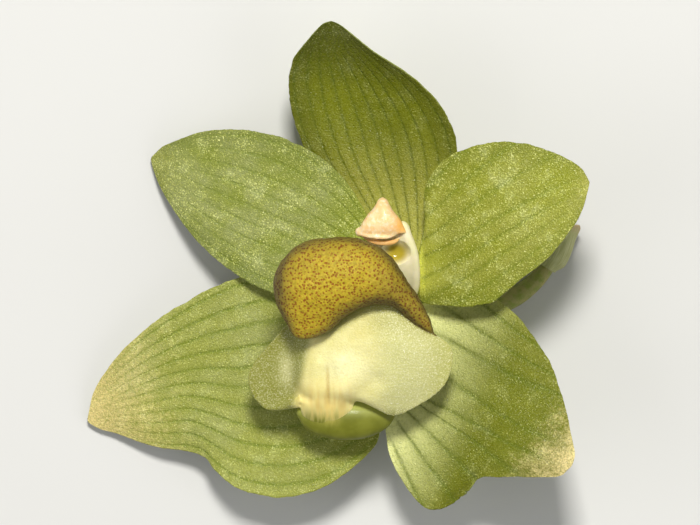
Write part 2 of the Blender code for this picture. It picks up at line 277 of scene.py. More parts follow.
def bract_skin():
    material, start, shader, _ = new_skin("bract_skin", 0.6, 0.15)
    spread = stored_at(start, "spread")
    fibre = noise_at(stretched(spread, (3.0, 60.0, 1.0)), 1.0, 3.0)
    colour = fibre.ramp(0.3, 0.7).tint((0.52, 0.53, 0.27, 1), (0.36, 0.37, 0.14, 1))
    colour = spread.axis("X").ramp(0.75, 1.0).tint(colour, (0.42, 0.33, 0.17, 1))
    feed(start, shader, colour, None, fibre, 0.06)
    return material


bract_sections = [
    (18.95, -0.2, -3.95, 1.5, 1.5),
    (19.8, 1.2, -3.9, 1.48, 1.48),
    (20.4, 2.8, -3.9, 1.42, 1.42),
    (20.75, 4.1, -3.85, 1.5, 1.5),
]
BRACT_ALONG = 60
BRACT_AROUND = 72
steps, first, second, turn = tube_rings(bract_sections, BRACT_ALONG, BRACT_AROUND, (0, 0, 1))
reach = 0.80 + 0.16 * np.cos(turn - 0.6) + 0.02 * np.sin(7 * turn) + 0.012 * np.sin(17 * turn + 1)
skins = []
for inset in (0.0, BRACT_SKIN):
    skin = []
    for k in range(BRACT_ALONG):
        run = k / BRACT_ALONG
        at = k * reach
        low = np.clip(at.astype(int), 0, BRACT_ALONG - 2)
        part = (at - low)[:, None]
        centre = steps[low, :3] * (1 - part) + steps[low + 1, :3] * part
        radius = steps[low, 3] * (1 - part[:, 0]) + steps[low + 1, 3] * part[:, 0]
        flare = 0.93 - 0.32 * smooth_step(0.25, 0.0, run) + 0.08 * smooth_step(0.7, 1.0, run)
        radius = radius * (flare + 0.02 * np.sin(5 * turn)) - inset
        ray = first[low] * np.cos(turn)[:, None] + second[low] * np.sin(turn)[:, None]
        skin.append(centre + ray * radius[:, None])
    skins.append(np.array(skin))
shell = np.concatenate([skins[0], skins[1][::-1]])
seam = np.arange(BRACT_AROUND)
after = (seam + 1) % BRACT_AROUND
last_ring = (2 * BRACT_ALONG - 1) * BRACT_AROUND
mouth_faces = np.stack([last_ring + seam, last_ring + after, after, seam], axis=1)
shell_faces = np.concatenate([grid_faces(2 * BRACT_ALONG, BRACT_AROUND, closed=True), mouth_faces])
down = np.concatenate([np.linspace(0, 1, BRACT_ALONG), np.linspace(1, 0, BRACT_ALONG)]).repeat(BRACT_AROUND)
shell_spread = np.stack([down, np.tile(turn / math.tau, 2 * BRACT_ALONG), 0 * down], axis=1)
bract = piece_from("bract_sheath", shell.reshape(-1, 3), shell_faces.tolist(), {"spread": shell_spread})
bract.data.materials.append(bract_skin())
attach(bract, "root")
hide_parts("bract")


# Dorsal sepal: the upright blade behind the column, olive green, hooded at its tip, with its right margin
# curled forward. It is a fleshy sheet that thins to its margins, with fine veins that fan out from the base.

BLADE_ALONG = 170
BLADE_ACROSS = 120
BLADE_MIDDLE = 0.6
BLADE_MARGIN = 0.16
TIP_START = 0.93
VEIN_DEPTH = 0.02
VEIN_HALF_WIDTH = 0.22


def stations(rows):
    """Five points across for each (left margin, right margin, heights from left to right) of a blade."""
    net = []
    for (x0, y0), (x1, y1), heights in rows:
        net.append([(x0 + (x1 - x0) * k / 4, y0 + (y1 - y0) * k / 4, z) for k, z in enumerate(heights)])
    return net


def smooth_net(net, along, across):
    """The net of points refined to along by across points, rows from base to tip."""
    rails = curve_through(np.asarray(net, dtype=float), along)
    return curve_through(rails.transpose(1, 0, 2), across).transpose(1, 0, 2)


def face_directions(grid):
    """The unit normal at each point of a grid, towards +Z on the whole."""
    normal = np.cross(np.gradient(grid, axis=0), np.gradient(grid, axis=1))
    normal /= np.maximum(np.linalg.norm(normal, axis=2, keepdims=True), 1e-9)
    return normal if normal[..., 2].mean() > 0 else -normal


def drift(grid, scale, offset):
    """Smooth noise between about -1 and 1 at each point."""
    flat = grid.reshape(-1, 3) * scale + offset
    return np.array([noise.noise(p) for p in flat.tolist()]).reshape(grid.shape[:2])


def sheet_body(name, front, back, marks):
    """A closed body between two grids of the same size."""
    rows, columns = front.shape[:2]
    top = grid_faces(rows, columns)
    edge = np.concatenate([
        np.arange(columns),
        np.arange(1, rows) * columns + columns - 1,
        (rows - 1) * columns + np.arange(columns - 2, -1, -1),
        np.arange(rows - 2, 0, -1) * columns,
    ])
    nxt = np.roll(edge, -1)
    under = rows * columns
    rim = np.stack([nxt, edge, edge + under, nxt + under], axis=1)
    faces = np.concatenate([top, top[:, ::-1] + under, rim])
    a, b, c = front[0, 0], front[0, 1], front[1, 1]
    if np.cross(b - a, c - a) @ (front[0, 0] - back[0, 0]) < 0:
        faces = faces[:, ::-1]
    points = np.concatenate([front.reshape(-1, 3), back.reshape(-1, 3)])
    return piece_from(name, points, faces.tolist(), marks)


def counted_across(points, lines):
    """The count of veins passed on the way across a blade; each vein is a start and an end from above."""
    away = []
    for start, end in np.asarray(lines, dtype=float):
        run = (end - start) / np.linalg.norm(end - start)
        away.append((points[..., 1] - start[1]) * run[0] - (points[..., 0] - start[0]) * run[1])
    away = np.array(away)
    before = np.clip((away > 0).sum(axis=0) - 1, 0, len(lines) - 2)
    near = np.take_along_axis(away, before[None], axis=0)[0]
    far = np.take_along_axis(away, before[None] + 1, axis=0)[0]
    return before + near / np.maximum(near - far, 0.4)


def grown_blade(name, net, veins, wave, seed, crease=None, lines=None):
    """A petal or sepal: a sheet with sunk veins and waved margins, thick in the middle, thin at its edge."""
    front = smooth_net(net, BLADE_ALONG, BLADE_ACROSS)
    v = np.linspace(0, 1, BLADE_ALONG)[:, None]
    u = np.linspace(-1, 1, BLADE_ACROSS)[None, :]
    narrow = np.sqrt(1 - (0.98 * np.clip((v - TIP_START) / (1 - TIP_START), 0, 1)) ** 2)[..., None]
    spine = 0.5 * (front[:, :1] + front[:, -1:])
    front = spine + (front - spine) * narrow
    edge = np.abs(u) ** 6 * np.sin(v * math.pi)
    rough = drift(front, 0.9, seed) * 0.10
    rough = rough + drift(front, 2.3, seed + 9) * 0.04
    rough = rough + drift(front, 4.1, seed) * 0.04
    outward = (front - spine) / np.maximum(np.linalg.norm(front - spine, axis=2, keepdims=True), 0.3)
    front = front + outward * (rough * edge)[..., None]
    normal = face_directions(front)
    width = np.linalg.norm(front[:, -1] - front[:, 0], axis=1)[:, None]
    phase = (u + 1) / 2 * veins + 0.12 * np.sin(7 * v + 3 * u + seed)
    if lines is not None:
        phase = counted_across(front, lines) + 0.5 + 0.06 * np.sin(9 * v + 2 * u + seed)
    from_vein = np.abs(phase % 1 - 0.5) * width / veins
    fade = smooth_step(0.0, 0.12, v) * (1 - smooth_step(0.85, 1.0, v)) * (1 - np.abs(u) ** 8)
    vein = VEIN_DEPTH * np.exp(-((from_vein / VEIN_HALF_WIDTH) ** 2)) * fade
    lift = -vein + 0.07 * drift(front, 0.35, seed + 3) * np.sin(v * math.pi)
    lift = lift + wave * np.abs(u) ** 3 * np.sin(v * 9 + seed) * np.sin(v * math.pi)
    if crease is not None:
        lift = lift + crease(u, v)
    front = front + normal * lift[..., None]
    normal = face_directions(front)
    swelling = (1 - np.abs(u) ** 4) * (1 - smooth_step(0.8, 1.0, v) * 0.6)
    flesh = BLADE_MARGIN + (BLADE_MIDDLE - BLADE_MARGIN) * swelling
    back = front - normal * (flesh - 0.5 * vein)[..., None]
    spread = np.stack([u + 0 * v, v + 0 * u, np.ones_like(u + v)], axis=-1).reshape(-1, 3)
    marks = np.concatenate([spread, spread * (1, 1, 0)])
    strands = np.stack([phase, 0 * phase, 0 * phase], axis=-1).reshape(-1, 3)
    return sheet_body(name, front, back, {"spread": marks, "strands": np.concatenate([strands, strands])})


def tepal_skin(name, body, sheen, base, tip, rim, vein, base_reach, vein_share, painted_sparkle,
               tip_reach=0.82, tip_full=1.0, base_core=0.0):
    """Fleshy green skin with veins, its own base, tip and rim, and painted sparkle, glints and sheen."""
    material, start, shader, place = new_skin(name, 0.4, 0.12)
    spread = stored_at(start, "spread")
    u, v, front = spread.axis("X"), spread.axis("Y"), spread.axis("Z")
    cloud = noise_at(place, 0.22, 3.0, 0.6)
    patch = noise_at(place, 0.5, 4.0, 0.7)
    grain = noise_at(place, 3.5, 4.0)
    glitter = noise_at(place, 7.5, 2.0)
    cells, lot = cells_at(place, 6.5, 0.95)
    vein_count = stored_at(start, "strands").axis("X")
    gap = ((vein_count + (cloud - 0.5) * 0.2).fract() - 0.5).size()
    along = v.ramp(0.02, 0.15) * v.ramp(0.6, 0.97, 1.0, 0.0)
    strand = gap.ramp(0.0, 0.15, 1.0, 0.0) * along * patch.ramp(0.35, 0.6, 0.45, 1.0)
    shadow = gap.ramp(0.0, 0.5, 1.0, 0.0) * along
    colour = cloud.ramp(0.35, 0.65).tint(body, sheen)
    colour = (u.size().ramp(0.55, 0.98) * 0.7).tint(colour, rim)
    middle = 1 - u.size().ramp(0.45, 0.95) * base_core
    colour = (v.ramp(0.0, base_reach, 1.0, 0.0) * middle).tint(colour, base)
    tipward = (v + (patch - 0.5) * 0.3 + (grain - 0.5) * 0.25).ramp(tip_reach, tip_full)
    colour = (tipward * glitter.ramp(0.35, 0.6, 0.55, 1.0)).tint(colour, tip)
    colour = (shadow * (vein_share * 0.35)).tint(colour, vein)
    colour = (strand * vein_share).tint(colour, vein)
    colour = (lot * grain.ramp(0.3, 0.6, 1.0, 0.2) * 0.4).tint(colour, vein)
    # Painted sparkle: lighter grain in patches on the front, standing in for light caught by the clear
    # cells.
    sparkle_patch = patch.ramp(0.38, 0.62, 0.35, 1.0) * front
    colour = (glitter.ramp(0.42, 0.68) * sparkle_patch * (painted_sparkle * 0.65)).tint(colour, (0.62, 0.64, 0.11, 1))
    # Painted sheen: soft whitish patches of light on the front.
    painted_sheen = patch.ramp(0.5, 0.72) * glitter.ramp(0.3, 0.62, 0.4, 1.0) * front
    colour = (painted_sheen * (painted_sparkle * 0.45)).tint(colour, (0.62, 0.66, 0.32, 1))
    # Painted glints: the brightest grains, near white, stand in for light glinting off single cells.
    painted_glint = (glitter + patch * 0.12).ramp(0.66, 0.80) * (0.35 + lot) * front
    colour = (painted_glint * painted_sparkle).tint(colour, (0.93, 0.93, 0.42, 1))
    colour = front.tint((0.28, 0.32, 0.07, 1), colour)
    height = cells * -1.0 + glitter * 0.8 + strand * -0.8
    feed(start, shader, colour, lot.ramp(0.1, 1.0, 0.42, 0.2), height, 0.055)
    return material


def fitted_blade(piece, node, skin):
    piece.data.materials.append(skin)
    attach(piece, "root")
    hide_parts(node)


dorsal_net = stations([
    ((5.1, -0.3), (7.7, -0.3), (1.0, 1.0, 1.0, 1.0, 1.0)),
    ((3.2, 2.6), (9.2, 2.6), (0.7, 0.6, 0.5, 0.6, 0.8)),
    ((0.2, 6.0), (10.4, 6.0), (0.4, 0.4, 0.3, 0.6, 1.2)),
    ((-2.3, 9.4), (10.9, 9.2), (0.3, 0.5, 0.6, 1.0, 1.9)),
    ((-3.7, 12.7), (10.4, 12.2), (0.8, 1.0, 1.2, 1.7, 2.9)),
    ((-4.3, 15.9), (8.8, 14.9), (1.8, 1.8, 2.0, 2.6, 3.9)),
    ((-4.0, 18.2), (6.3, 17.2), (2.9, 2.7, 2.8, 3.5, 4.6)),
    ((-2.9, 19.9), (3.4, 19.1), (3.8, 3.6, 3.6, 4.1, 4.8)),
    ((-1.6, 21.3), (1.2, 20.8), (4.3, 4.2, 4.2, 4.4, 4.7)),
    ((-0.9, 21.9), (0.0, 21.9), (4.5, 4.5, 4.5, 4.5, 4.5)),
])
dorsal = grown_blade("dorsal_sepal_blade", dorsal_net, 11, 0.08, 1)
fitted_blade(dorsal, "dorsal_sepal", tepal_skin(
    "dorsal_skin",
    body=(0.125, 0.14, 0.003, 1),
    base=(0.44, 0.42, 0.07, 1),
    tip=(0.03, 0.035, 0.003, 1),
    vein=(0.06, 0.085, 0.002, 1),
    sheen=(0.155, 0.17, 0.004, 1),
    rim=(0.09, 0.10, 0.006, 1),
    tip_reach=0.48, tip_full=0.9, base_reach=0.5, base_core=0.6, vein_share=0.55, painted_sparkle=0.18,
))


# Lateral sepals: the two broad blades below the lip, each with a tan tip. The left one is pale yellow green,
# with a crease where its lower margin turns back. The right one is olive, and dips beside its lower lobe.

left_sepal_net = stations([
    ((4.9, -3.8), (3.9, -14.9), (1.0, 1.0, 1.0, 1.0, 1.1)),
    ((2.1, -1.9), (3.1, -16.7), (0.5, 0.6, 0.7, 0.8, 1.0)),
    ((-1.9, -0.6), (-0.6, -19.7), (-0.1, 0.1, 0.2, 0.5, 0.9)),
    ((-6.0, -0.5), (-4.6, -20.9), (-0.7, -0.5, -0.3, 0.1, 0.7)),
    ((-9.4, -1.3), (-8.6, -20.3), (-1.2, -1.1, -1.0, -0.7, 0.0)),
    ((-12.7, -2.8), (-11.2, -18.4), (-1.7, -1.8, -1.8, -1.6, -1.2)),
    ((-15.9, -4.7), (-12.9, -17.0), (-2.2, -2.4, -2.5, -2.3, -2.6)),
    ((-19.0, -7.3), (-16.6, -16.4), (-2.9, -3.1, -3.2, -3.2, -3.6)),
    ((-21.6, -10.6), (-20.2, -15.2), (-4.0, -4.1, -4.1, -4.2, -4.5)),
    ((-22.7, -13.4), (-22.5, -14.7), (-4.8, -4.8, -4.8, -4.8, -4.8)),
])


def turned_back(u, v):
    """The shallow valley that runs inwards from the kink of the lower margin."""
    return -0.35 * np.exp(-(((v - 0.60 + 0.12 * (1 - u)) / 0.06) ** 2)) * smooth_step(0.1, 0.9, u)


left_sepal = grown_blade("lateral_sepal_left_blade", left_sepal_net, 11, 0.06, 2, crease=turned_back)
fitted_blade(left_sepal, "lateral_sepal_left", tepal_skin(
    "left_sepal_skin",
    body=(0.28, 0.30, 0.055, 1),
    # The darker base is painted shade, where the lip and the petal shade the sepal.
    base=(0.17, 0.19, 0.014, 1),
    tip=(0.72, 0.56, 0.24, 1),
    vein=(0.12, 0.17, 0.006, 1),
    sheen=(0.31, 0.33, 0.10, 1),
    rim=(0.28, 0.30, 0.06, 1),
    tip_reach=0.62, base_reach=0.42, vein_share=0.75, painted_sparkle=0.45,
))

right_sepal_net = stations([
    ((4.4, -14.9), (6.6, -3.8), (1.1, 1.0, 1.0, 1.0, 1.0)),
    ((4.8, -17.2), (10.2, -2.7), (1.4, 1.4, 1.5, 1.6, 1.6)),
    ((6.1, -19.7), (13.6, -2.7), (1.7, 2.1, 2.4, 2.6, 2.6)),
    ((8.0, -21.9), (15.9, -4.3), (1.8, 2.7, 3.3, 3.6, 3.6)),
    ((10.3, -21.6), (17.8, -6.6), (1.9, 3.6, 4.3, 4.6, 4.5)),
    ((12.4, -19.3), (19.3, -9.1), (3.6, 4.8, 5.3, 5.5, 5.4)),
    ((14.8, -19.0), (20.3, -12.0), (5.0, 5.9, 6.3, 6.4, 6.2)),
    ((17.4, -19.0), (20.9, -14.6), (6.2, 6.9, 7.2, 7.2, 6.9)),
    ((19.8, -18.9), (21.3, -16.6), (7.2, 7.5, 7.6, 7.6, 7.4)),
    ((20.7, -18.4), (21.3, -17.6), (7.6, 7.7, 7.7, 7.7, 7.6)),
])


def dipped(u, v):
    """The dip of the lower margin beside its lobe."""
    return -0.35 * smooth_step(-0.6, -1.0, u) * np.exp(-(((v - 0.49) / 0.07) ** 2))


right_sepal_veins = [
    ((6.1, -15.0), (9.4, -19.8)),
    ((7.0, -13.9), (11.5, -18.4)),
    ((8.2, -13.1), (13.6, -16.7)),
    ((9.4, -12.9), (14.8, -15.5)),
    ((10.6, -10.8), (17.7, -15.0)),
    ((12.2, -7.9), (18.6, -11.0)),
    ((11.3, -4.9), (18.6, -9.4)),
]
right_sepal = grown_blade("lateral_sepal_right_blade", right_sepal_net, 10, 0.05, 3,
                          crease=dipped, lines=right_sepal_veins)
fitted_blade(right_sepal, "lateral_sepal_right", tepal_skin(
    "right_sepal_skin",
    body=(0.125, 0.14, 0.004, 1),
    # The pale base is its own colour, made lighter still as painted light against the shadow the right petal
    # casts there.
    base=(0.84, 0.86, 0.36, 1),
    tip=(0.84, 0.68, 0.32, 1),
    vein=(0.085, 0.12, 0.003, 1),
    sheen=(0.15, 0.165, 0.008, 1),
    rim=(0.16, 0.17, 0.012, 1),
    tip_reach=0.62, tip_full=0.95, base_reach=0.42, vein_share=0.7, painted_sparkle=0.3,
))


# Petals: the two ovate blades in front of the sepals, pale green with a frosted bloom of large clear cells
# whose sparkle is painted light.
# The left one leans back until its tip all but touches the surface, and the right one stands up.

left_petal_net = stations([
    ((4.5, -2.9), (4.5, -0.4), (2.0, 2.0, 2.0, 2.0, 2.0)),
    ((2.8, -3.4), (3.3, 3.2), (2.1, 1.9, 1.9, 2.0, 2.3)),
    ((-1.0, -3.4), (1.2, 7.0), (1.9, 1.8, 1.8, 2.0, 2.6)),
    ((-4.4, -2.9), (-1.5, 9.7), (1.3, 1.4, 1.5, 1.8, 2.4)),
    ((-7.6, -1.7), (-5.0, 11.5), (0.5, 0.7, 0.9, 1.2, 1.8)),
    ((-10.5, 0.2), (-8.6, 12.2), (-0.7, -0.3, -0.1, 0.2, 0.7)),
    ((-13.1, 2.7), (-12.0, 12.1), (-2.1, -1.7, -1.5, -1.3, -1.0)),
    ((-15.3, 5.8), (-14.8, 11.2), (-3.6, -3.3, -3.1, -3.0, -2.9)),
    ((-17.0, 9.1), (-16.7, 10.3), (-5.0, -4.9, -4.9, -4.9, -4.9)),
])
left_petal = grown_blade("petal_left_blade", left_petal_net, 9, 0.08, 4)
fitted_blade(left_petal, "petal_left", tepal_skin(
    "left_petal_skin",
    body=(0.205, 0.24, 0.035, 1),
    base=(0.26, 0.32, 0.010, 1),
    tip=(0.24, 0.25, 0.05, 1),
    vein=(0.12, 0.17, 0.006, 1),
    sheen=(0.27, 0.295, 0.10, 1),
    rim=(0.15, 0.18, 0.04, 1),
    base_reach=0.4, vein_share=0.45, painted_sparkle=0.62,
))

right_petal_net = stations([
    ((7.3, -2.9), (7.2, 0.4), (2.0, 2.0, 2.0, 2.0, 2.0)),
    ((7.9, -3.4), (7.8, 3.4), (2.9, 2.6, 2.5, 2.6, 3.0)),
    ((9.4, -3.6), (8.0, 7.0), (4.0, 3.7, 3.6, 4.0, 4.8)),
    ((11.6, -3.7), (9.6, 9.4), (5.0, 4.9, 5.0, 5.3, 6.0)),
    ((13.9, -3.3), (12.5, 10.7), (6.0, 6.1, 6.3, 6.6, 7.0)),
    ((16.2, -1.5), (15.6, 11.05), (7.1, 7.3, 7.5, 7.6, 7.7)),
    ((19.0, 0.8), (18.9, 10.3), (8.2, 8.3, 8.4, 8.4, 8.3)),
    ((21.4, 3.9), (21.3, 9.1), (9.0, 9.0, 9.0, 9.0, 8.9)),
    ((22.6, 6.8), (22.5, 8.0), (9.2, 9.2, 9.2, 9.2, 9.2)),
])
right_petal_veins = [
    ((7.9, -1.2), (18.6, 4.9)),
    ((7.9, 0.8), (19.9, 7.0)),
    ((7.9, 2.5), (15.2, 7.3)),
]
right_petal = grown_blade("petal_right_blade", right_petal_net, 8, 0.06, 5, lines=right_petal_veins)
fitted_blade(right_petal, "petal_right", tepal_skin(
    "right_petal_skin",
    body=(0.24, 0.26, 0.02, 1),
    base=(0.74, 0.76, 0.12, 1),
    tip=(0.32, 0.31, 0.06, 1),
    vein=(0.12, 0.165, 0.005, 1),
    sheen=(0.27, 0.28, 0.045, 1),
    rim=(0.15, 0.17, 0.014, 1),
    base_reach=0.4, base_core=1.0, vein_share=0.55, painted_sparkle=0.65,
))


# Column: the waxy cream pillar in the middle of the flower, with a sunk, wet, olive-yellow stigma below the
# anther. Its foot is a green strap that runs forward under the lip to a swollen knee that carries the claw.

VOXEL = 0.11


def without_crumbs(piece):
    """Keeps the largest island of a mesh; a remesh can leave crumbs beside thin edges."""
    mesh = bmesh.new()
    mesh.from_mesh(piece.data)
    left = set(mesh.verts)
    islands = []
    while left:
        front = [left.pop()]
        island = list(front)
        while front:
            vert = front.pop()
            near = [edge.other_vert(vert) for edge in vert.link_edges]
            fresh = [other for other in near if other in left]
            left.difference_update(fresh)
            island.extend(fresh)
            front.extend(fresh)
        islands.append(island)
    islands.sort(key=len)
    for crumb in islands[:-1]:
        bmesh.ops.delete(mesh, geom=crumb, context="VERTS")
    mesh.to_mesh(piece.data)
    mesh.free()


def fused(name, pieces, smoothing):
    """One skin round the pieces, their joints rounded off; the pieces themselves are used up."""
    bpy.ops.object.select_all(action="DESELECT")
    for piece in pieces:
        piece.select_set(True)
    bpy.context.view_layer.objects.active = pieces[0]
    bpy.ops.object.join()
    joined = bpy.context.view_layer.objects.active
    joined.name = name
    skin = joined.modifiers.new("skin", "REMESH")
    skin.mode = "VOXEL"
    skin.voxel_size = VOXEL * MM
    relax = joined.modifiers.new("relax", "SMOOTH")
    relax.factor = 0.5
    relax.iterations = smoothing
    for modifier in ("skin", "relax"):
        bpy.ops.object.modifier_apply(modifier=modifier)
    without_crumbs(joined)
    return joined


def point_places(piece):
    """Each point of a mesh, in millimetres from the ovary's top."""
    flat = np.zeros(len(piece.data.vertices) * 3, dtype=np.float32)
    piece.data.vertices.foreach_get("co", flat)
    return flat.reshape(-1, 3).astype(float) / MM - OVARY_TOP


def store(piece, mark, values):
    stored = piece.data.attributes.new(mark, "FLOAT_VECTOR", "POINT")
    stored.data.foreach_set("vector", np.asarray(values, dtype=np.float32).ravel())


def set_places(piece, points):
    piece.data.vertices.foreach_set("co", ((points + OVARY_TOP) * MM).astype(np.float32).ravel())
    piece.data.update()


def fleshy_sheet(name, net, along, across, middle, margin, power, root=1.0):
    """A sheet on a net, thick in the middle and thin at its sides; root is the share of that at its base."""
    front = smooth_net(net, along, across)
    u = np.linspace(-1, 1, across)[None, :]
    v = np.linspace(0, 1, along)[:, None]
    normal = face_directions(front)
    swelling = (root + (1 - root) * smooth_step(0.1, 0.4, v)) * (1 - np.abs(u) ** power)
    flesh = margin + (middle - margin) * swelling
    return sheet_body(name, front, front - normal * flesh[..., None], None)


STIGMA = np.array((5.3, 1.15, 5.9))
STIGMA_HALF = np.array((1.35, 1.15, 1.3))
STIGMA_DEPTH = 0.9
STREAKS = (2.8, 0.35, 0.35)
column_post = capped_tube("column_post", [
    (6.25, -2.0, 0.35, 1.2, 1.05),
    (6.2, -1.9, 1.6, 1.25, 1.1),
    (5.9, -0.9, 3.2, 1.5, 1.25),
    (5.45, 0.7, 4.5, 1.85, 1.4),
    (5.0, 2.2, 5.0, 1.85, 1.1),
    (4.6, 3.0, 5.2, 1.4, 0.7),
    (4.4, 3.3, 5.3, 0.3, 0.2),
], 80, 64, (1, 0, 0))
column_ridge = capped_tube("column_ridge", [
    (5.7, 3.9, 5.7, 0.15, 0.15),
    (5.95, 3.5, 5.9, 0.5, 0.5),
    (6.3, 2.4, 5.7, 0.55, 0.55),
    (6.8, 1.0, 5.3, 0.55, 0.5),
    (7.0, -0.6, 4.5, 0.5, 0.45),
    (7.05, -2.0, 3.4, 0.4, 0.4),
    (7.0, -2.9, 2.6, 0.15, 0.15),
], 80, 32, (1, 0, 0))
foot_net = [
    [(5.2, -2.2, 2.4), (5.7, -2.2, 2.4), (6.2, -2.2, 2.4), (6.7, -2.2, 2.4), (7.2, -2.2, 2.4)],
    [(3.9, -5.5, 2.7), (4.5, -5.6, 2.3), (5.2, -5.7, 2.2), (5.9, -5.6, 2.3), (6.5, -5.4, 2.7)],
    [(2.0, -8.8, 3.2), (3.0, -9.1, 2.6), (4.0, -9.3, 2.5), (5.0, -9.1, 2.6), (5.9, -8.7, 3.1)],
    [(-0.9, -11.4, 3.8), (0.5, -11.9, 3.2), (2.0, -12.1, 3.1), (3.5, -11.9, 3.2), (4.8, -11.3, 3.6)],
    [(-1.9, -13.0, 4.3), (-0.5, -13.5, 4.0), (1.0, -13.7, 3.9), (2.6, -13.5, 4.0), (3.9, -13.0, 4.2)],
]
column_foot = fleshy_sheet("column_foot", foot_net, 110, 60, 0.7, 0.45, 6)
foot_knee = capped_tube("foot_knee", [
    (-3.6, -12.95, 4.2, 0.15, 0.2),
    (-3.2, -13.1, 4.2, 0.55, 0.7),
    (-2.2, -13.4, 4.1, 0.95, 1.5),
    (-0.6, -13.7, 4.0, 1.25, 1.85),
    (0.9, -13.8, 4.0, 1.3, 1.92),
    (2.4, -13.75, 4.0, 1.25, 1.8),
    (3.9, -13.5, 4.1, 0.95, 1.4),
    (4.8, -13.3, 4.2, 0.55, 0.8),
    (5.2, -13.2, 4.2, 0.15, 0.25),
], 100, 70, (0, 0, 1))
column = fused("column_and_foot", [column_post, column_ridge, column_foot, foot_knee], 8)
places = point_places(column)
sink = np.linalg.norm((places - STIGMA) / STIGMA_HALF, axis=1)
hollow = np.clip(1 - sink**2, 0, 1)
places[:, 2] -= STIGMA_DEPTH * hollow
set_places(column, places)
foot_share = smooth_step(-3.0, -7.0, places[:, 1])
knee_share = smooth_step(-12.0, -14.0, places[:, 1])
store(column, "spread", np.stack([foot_share, smooth_step(0.0, 0.85, hollow), knee_share], axis=1))


def column_skin():
    material, start, shader, place = new_skin("column_skin", 0.4, 0.2, 0.05)
    spread = stored_at(start, "spread")
    foot, hollow, knee = spread.axis("X"), spread.axis("Y"), spread.axis("Z")
    cloud = noise_at(place, 0.7, 3.0)
    grain = noise_at(place, 5.0, 3.0)
    colour = cloud.ramp(0.3, 0.7).tint((0.84, 0.76, 0.50, 1), (0.74, 0.70, 0.38, 1))
    colour = foot.tint(colour, (0.44, 0.47, 0.10, 1))
    green = cloud.ramp(0.35, 0.65).tint((0.14, 0.15, 0.012, 1), (0.18, 0.19, 0.02, 1))
    colour = knee.tint(colour, green)
    streak = noise_at(stretched(place, STREAKS), 1.0, 3.0)
    near_claw = place.axis("Y").ramp(-14.9, -13.3) * (place.axis("X") + 0.9).size().ramp(0.3, 1.6, 1.0, 0.0)
    colour = (near_claw * knee * streak.ramp(0.35, 0.65, 0.2, 0.9)).tint(colour, (0.56, 0.47, 0.12, 1))
    colour = hollow.tint(colour, (0.42, 0.33, 0.03, 1))
    roughness = hollow.ramp(0.0, 1.0, 0.48, 0.1)
    feed(start, shader, colour, roughness, grain, 0.015)
    return material


column.data.materials.append(column_skin())
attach(column, "root")
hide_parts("column")


# Anther cap: the small waxy cap that hoods the pollen on the column's end, cream to peach, drawn out to a
# blunt point. Its front lip is a thin glossy fold, orange where it meets the column.


def hood_folds(v, turn):
    return 1 + 0.05 * np.sin(v * 9) * np.cos(3 * turn) + 0.025 * np.cos(5 * turn)


anther_hood = capped_tube("anther_hood", [
    (4.1, 2.55, 6.2, 1.0, 0.25),
    (4.05, 2.75, 6.2, 1.9, 0.75),
    (4.05, 3.1, 6.25, 2.1, 1.1),
    (4.1, 3.9, 6.35, 1.75, 1.3),
    (4.1, 4.5, 6.45, 1.32, 1.15),
    (4.1, 5.0, 6.55, 0.9, 0.9),
    (4.1, 5.5, 6.55, 0.6, 0.62),
    (4.1, 5.85, 6.5, 0.42, 0.42),
    (4.1, 6.1, 6.5, 0.1, 0.1),
], 90, 72, (1, 0, 0), hood_folds)
anther_knob = capped_tube("anther_knob", [
    (1.65, 3.0, 6.3, 0.08, 0.08),
    (1.8, 3.0, 6.3, 0.32, 0.34),
    (2.15, 2.95, 6.35, 0.4, 0.4),
    (2.5, 2.85, 6.4, 0.2, 0.2),
], 30, 28, (0, 0, 1))
anther_lip = capped_tube("anther_lip", [
    (1.9, 2.85, 6.5, 0.14, 0.14),
    (2.7, 2.62, 6.95, 0.16, 0.16),
    (3.6, 2.5, 7.15, 0.16, 0.17),
    (4.5, 2.5, 7.1, 0.15, 0.16),
    (5.3, 2.75, 6.8, 0.12, 0.12),
], 60, 20, (0, 0, 1))
anther_rim = capped_tube("anther_rim", [
    (2.5, 2.45, 6.1, 0.1, 0.1),
    (3.2, 2.15, 6.35, 0.24, 0.24),
    (4.2, 2.0, 6.45, 0.24, 0.24),
    (5.1, 2.1, 6.35, 0.22, 0.22),
    (5.7, 2.5, 6.1, 0.1, 0.1),
], 60, 20, (0, 0, 1))
anther = fused("anther_cap_hood", [anther_hood, anther_knob, anther_lip, anther_rim], 3)
places = point_places(anther)
low = smooth_step(2.5, 2.25, places[:, 1])
side = smooth_step(4.9, 5.7, places[:, 0]) * smooth_step(2.6, 3.2, places[:, 1])
tipward = smooth_step(4.2, 5.6, places[:, 1])
store(anther, "spread", np.stack([low, side, tipward], axis=1))


def anther_skin():
    material, start, shader, place = new_skin("anther_skin", 0.4, 0.3, 0.15)
    spread = stored_at(start, "spread")
    low, side, tipward = spread.axis("X"), spread.axis("Y"), spread.axis("Z")
    cloud = noise_at(place, 1.3, 3.0)
    fleck = noise_at(place, 3.2, 3.0)
    colour = cloud.ramp(0.35, 0.65).tint((0.88, 0.66, 0.35, 1), (0.86, 0.55, 0.24, 1))
    colour = tipward.tint(colour, (0.78, 0.53, 0.24, 1))
    colour = (fleck.ramp(0.5, 0.68) * 0.5).tint(colour, (0.93, 0.84, 0.66, 1))
    colour = (side * 0.8).tint(colour, (0.84, 0.42, 0.08, 1))
    colour = (low * 0.75).tint(colour, (0.78, 0.38, 0.09, 1))
    feed(start, shader, colour, cloud.ramp(0.3, 0.7, 0.35, 0.5), cloud + fleck * 0.6, 0.07)
    return material


anther.data.materials.append(anther_skin())
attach(anther, "root")
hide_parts("anther_cap")


# Lip: one fleshy organ. A yellow claw rises from the foot into a pale swollen body with a lobe on either
# side. Its far end arches back over the body as a thick mustard cap with red-brown dots and a darker edge.

